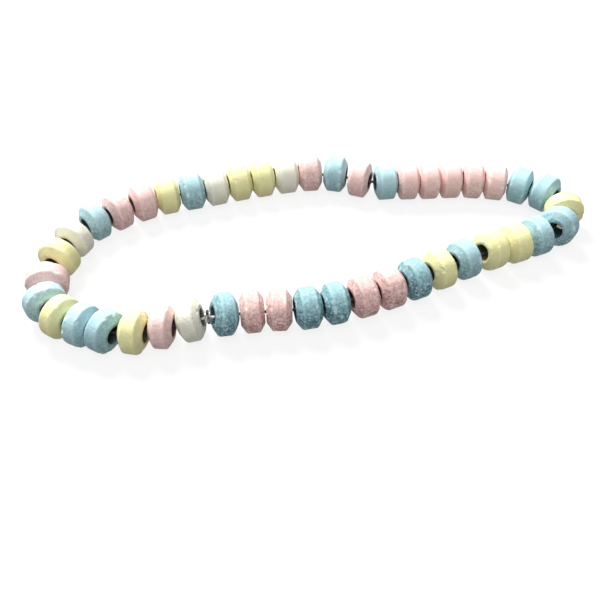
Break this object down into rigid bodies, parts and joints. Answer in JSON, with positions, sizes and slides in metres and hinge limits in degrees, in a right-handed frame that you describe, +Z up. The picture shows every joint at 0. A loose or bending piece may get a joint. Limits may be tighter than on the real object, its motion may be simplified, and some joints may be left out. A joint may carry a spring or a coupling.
{
  "type": "candy necklace",
  "caption": "Loop of pastel pressed sugar candy discs, bevelled and pierced, threaded on a knotted elastic string and lying flat.",
  "frame": {"origin": "under the middle of the loop's outline, on the surface that the candies lie on", "axes": "+X along the loop's long side, +Y across it, +Z up"},
  "size_m": [0.1334, 0.0676, 0.0098],
  "materials": {
    "candy_blue": "matt pressed sugar, pastel blue, finely grained, with small chips along its edges",
    "candy_pink": "matt pressed sugar, pastel pink, finely grained, with small chips along its edges",
    "candy_white": "matt pressed sugar, pastel white, finely grained, with small chips along its edges",
    "candy_yellow": "matt pressed sugar, pastel yellow, finely grained, with small chips along its edges",
    "elastic": "thin milky white elastic thread, satin"
  },
  "bodies": {
    "root": {"candy_01_blue": "candy_blue", "candy_02_pink": "candy_pink", "candy_03_pink": "candy_pink", "candy_04_yellow": "candy_yellow", "candy_05_blue": "candy_blue", "candy_06_white": "candy_white", "candy_07_yellow": "candy_yellow", "candy_08_yellow": "candy_yellow", "candy_09_white": "candy_white", "candy_10_pink": "candy_pink", "candy_11_blue": "candy_blue", "candy_12_pink": "candy_pink", "candy_13_blue": "candy_blue", "candy_14_pink": "candy_pink", "candy_15_pink": "candy_pink", "candy_16_pink": "candy_pink", "candy_17_pink": "candy_pink", "candy_18_pink": "candy_pink", "candy_19_blue": "candy_blue", "candy_20_blue": "candy_blue", "candy_21_yellow": "candy_yellow", "candy_22_blue": "candy_blue", "candy_23_blue": "candy_blue", "candy_24_yellow": "candy_yellow", "candy_25_yellow": "candy_yellow", "candy_26_blue": "candy_blue", "candy_27_yellow": "candy_yellow", "candy_28_blue": "candy_blue", "candy_29_pink": "candy_pink", "candy_30_pink": "candy_pink", "candy_31_blue": "candy_blue", "candy_32_blue": "candy_blue", "candy_33_pink": "candy_pink", "candy_34_pink": "candy_pink", "candy_35_blue": "candy_blue", "candy_36_white": "candy_white", "candy_37_pink": "candy_pink", "candy_38_yellow": "candy_yellow", "candy_39_blue": "candy_blue", "candy_40_blue": "candy_blue", "candy_41_yellow": "candy_yellow", "candy_42_blue": "candy_blue", "candy_43_pink": "candy_pink", "candy_44_yellow": "candy_yellow", "candy_45_white": "candy_white", "elastic_string": "elastic"}
  },
  "joints": []
}
